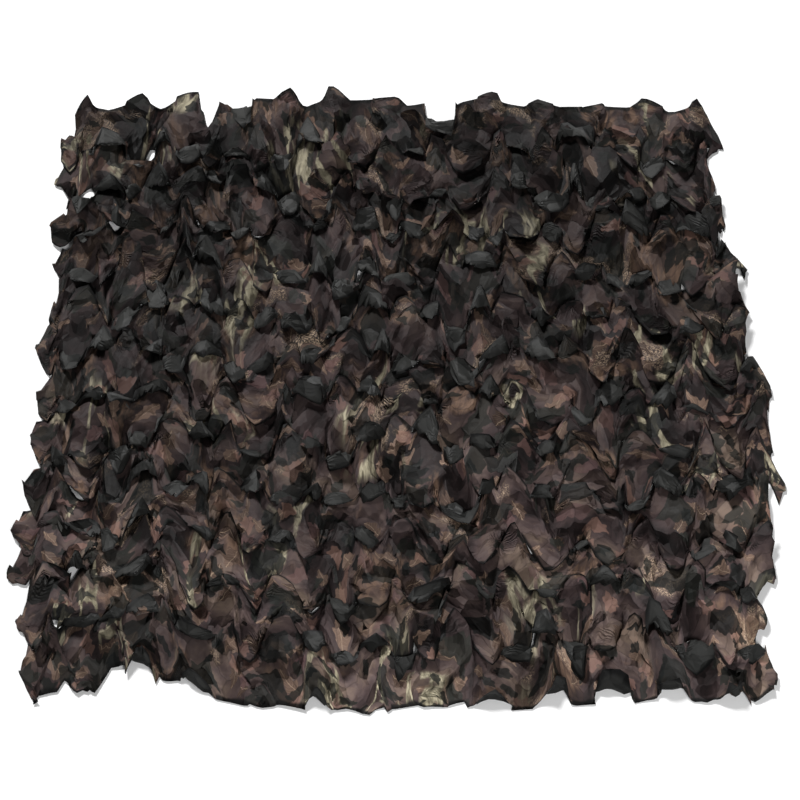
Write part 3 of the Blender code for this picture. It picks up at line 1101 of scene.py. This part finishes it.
def build_print():
    material = plain_material("net_print", (0.05, 0.04, 0.035), 0.7)
    wires = ShaderWires(material.node_tree)
    place = cloth_place(wires)

    def leaves(shift, size, width, share_of):
        return wires.group(leaf_group, Vector=wires.moved(place, shift), Size=size, Width=width,
                           Share=share_of).outputs

    across, along, _ = wires.split(place)
    warmer = wires.between(along, 0.1, 0.55 * FLAT_LENGTH, 0.055, -0.02, "LINEAR")
    mottle = wires.math("ADD", wires.noise(place, 8.0, 5.0, 0.58, 0.4), warmer)
    ground = wires.ramp(mottle, GROUND)
    bark = wires.group(bark_group, Vector=place)
    bark_noise = wires.noise(wires.moved(place, (7.0, 3.0, 0.0)), 6.0, 4.0, 0.6)
    bark_zone = wires.between(bark_noise, 0.54, 0.64)
    streaks = wires.product(bark.outputs["Streaks"], bark_zone)
    colour = wires.blend(wires.product(streaks, 0.8), ground, BARK_BROWN)
    speckle_noise = wires.noise(wires.moved(place, (1.0, 9.0, 0.0)), 6.0, 4.0, 0.6)
    speckle_zone = wires.between(speckle_noise, 0.58, 0.64)
    speckle = wires.product(bark.outputs["Speckle"], speckle_zone)
    colour = wires.blend(speckle, colour, BARK_PALE)
    brown = leaves((0.31, 0.77, 0.0), 0.046, 0.26, 0.4)
    colour = wires.blend(brown["Mask"], colour, wires.ramp(brown["Tone"], LEAF_BROWN))
    colour = wires.blend(wires.product(brown["Vein"], 0.5), colour, BARK_PALE)
    limb_place = wires.vector_math("MULTIPLY", place, (1.0, 0.30, 1.0))
    limb_noise = wires.noise(wires.moved(limb_place, (4.0, 2.0, 0.0)), 7.0, 4.0, 0.55, 0.6)
    limb_line = wires.apart(limb_noise, 0.5)
    limb_zone = wires.between(wires.noise(wires.moved(place, (2.0, 6.0, 0.0)), 3.4, 3.0), 0.54, 0.59)
    limb = wires.product(wires.between(limb_line, 0.012, 0.026, 1.0, 0.0), limb_zone)
    limb_tone = wires.blend(bark.outputs["Streaks"], LIMB_SHADE, LIMB_PALE)
    colour = wires.blend(limb, colour, limb_tone)
    rust = leaves((0.9, 0.2, 0.0), 0.046, 0.32, 0.20)
    rust_tone = wires.blend(rust["Tone"], RUST, ROSE)
    colour = wires.blend(wires.product(rust["Mask"], 0.5), colour, rust_tone)
    for dark in (leaves((0.0, 0.0, 0.0), 0.076, 0.32, 0.55),
                 leaves((0.5, 0.1, 0.0), 0.036, 0.22, 0.40)):
        dark_tone = wires.ramp(dark["Tone"], LEAF_DARK)
        colour = wires.blend(wires.product(dark["Mask"], 0.88), colour, dark_tone)
    # painted light: the print is made paler towards the front and the right, as if more light fell
    # there
    painted_front_light = wires.between(along, 0.0, 0.65 * FLAT_LENGTH, 1.50, 0.66, "LINEAR")
    painted_right_light = wires.between(across, 0.0, FLAT_WIDTH, 0.85, 1.08, "LINEAR")
    patches = wires.between(wires.noise(place, 2.2, 2.0), 0.35, 0.65, 0.65, 1.25)
    shade = wires.product(patches, wires.product(painted_front_light, painted_right_light))
    shaded = wires.scaled(seal_and_painted_shade(wires, place, colour), shade)
    roughness = wires.between(bark.outputs["Speckle"], 0.0, 1.0, 0.56, 0.68)
    return finish(material, shaded, roughness, cloth_relief(wires, place, 1.5, 0.0040), 0.12)


# %% The plain back
BACK_TONES = ((0.3, (0.013, 0.0135, 0.0130)), (0.7, (0.024, 0.024, 0.0225)))


def build_back():
    material = plain_material("net_back", (0.030, 0.031, 0.031), 0.72)
    wires = ShaderWires(material.node_tree)
    place = cloth_place(wires)
    tone = wires.noise(place, 14.0, 4.0, 0.6)
    # the back gets the same painted shade in its creases and painted shadow along its cuts
    colour = seal_and_painted_shade(wires, place, wires.ramp(tone, BACK_TONES))
    roughness = wires.between(tone, 0.3, 0.7, 0.52, 0.66)
    return finish(material, colour, roughness, cloth_relief(wires, place, 1.1, 0.0030), 0.20)


front_material = build_print()
back_material = build_back()
print("finishes:", front_material.name, back_material.name)

# %% [markdown]
# ## The finished sheet
# The settled points go back into the cut mesh. The place in the flat cloth becomes its UV map, so
# the print is cut and folded along with the cloth. Solidify gives the cloth its thickness and
# puts the plain back on the underside.

# %% Make the sheet
def make_sheet(mesh, points, front, back):
    points = points.copy()
    points[:, 2] = np.maximum(points[:, 2], LOWEST)
    mesh.vertices.foreach_set("co", points.astype(np.float32).ravel())
    mesh.update()
    for name in ("wave_at", "row_at", "band", "band_mean"):
        mesh.attributes.remove(mesh.attributes[name])
    corner_point = np.empty(len(mesh.loops), np.int32)
    mesh.loops.foreach_get("vertex_index", corner_point)
    chart = mesh.uv_layers.new(name="flat_cloth")
    chart.uv.foreach_set("vector", (flat[corner_point, :2] / UV_METRES).astype(np.float32).ravel())
    mesh.materials.clear()
    mesh.materials.append(front)
    mesh.materials.append(back)
    mesh.shade_smooth()
    sheet = put("net_sheet", mesh)
    thickness = sheet.modifiers.new("Thickness", "SOLIDIFY")
    thickness.thickness = CLOTH_THICKNESS
    thickness.offset = 0.0
    thickness.material_offset = 1
    thickness.material_offset_rim = 1
    solid = mesh_from_nodes(sheet, "net_sheet")
    sheet.modifiers.remove(thickness)
    sheet.data = solid
    return sheet


sheet = make_sheet(cloth_mesh, settled, front_material, back_material)
area = sum(face.area for face in sheet.data.polygons) / 2
print("sheet:", len(sheet.data.polygons), "faces, cloth area %.3f m2" % area)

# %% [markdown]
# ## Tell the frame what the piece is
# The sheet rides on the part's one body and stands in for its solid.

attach(sheet, "root")
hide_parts("net_cloth")
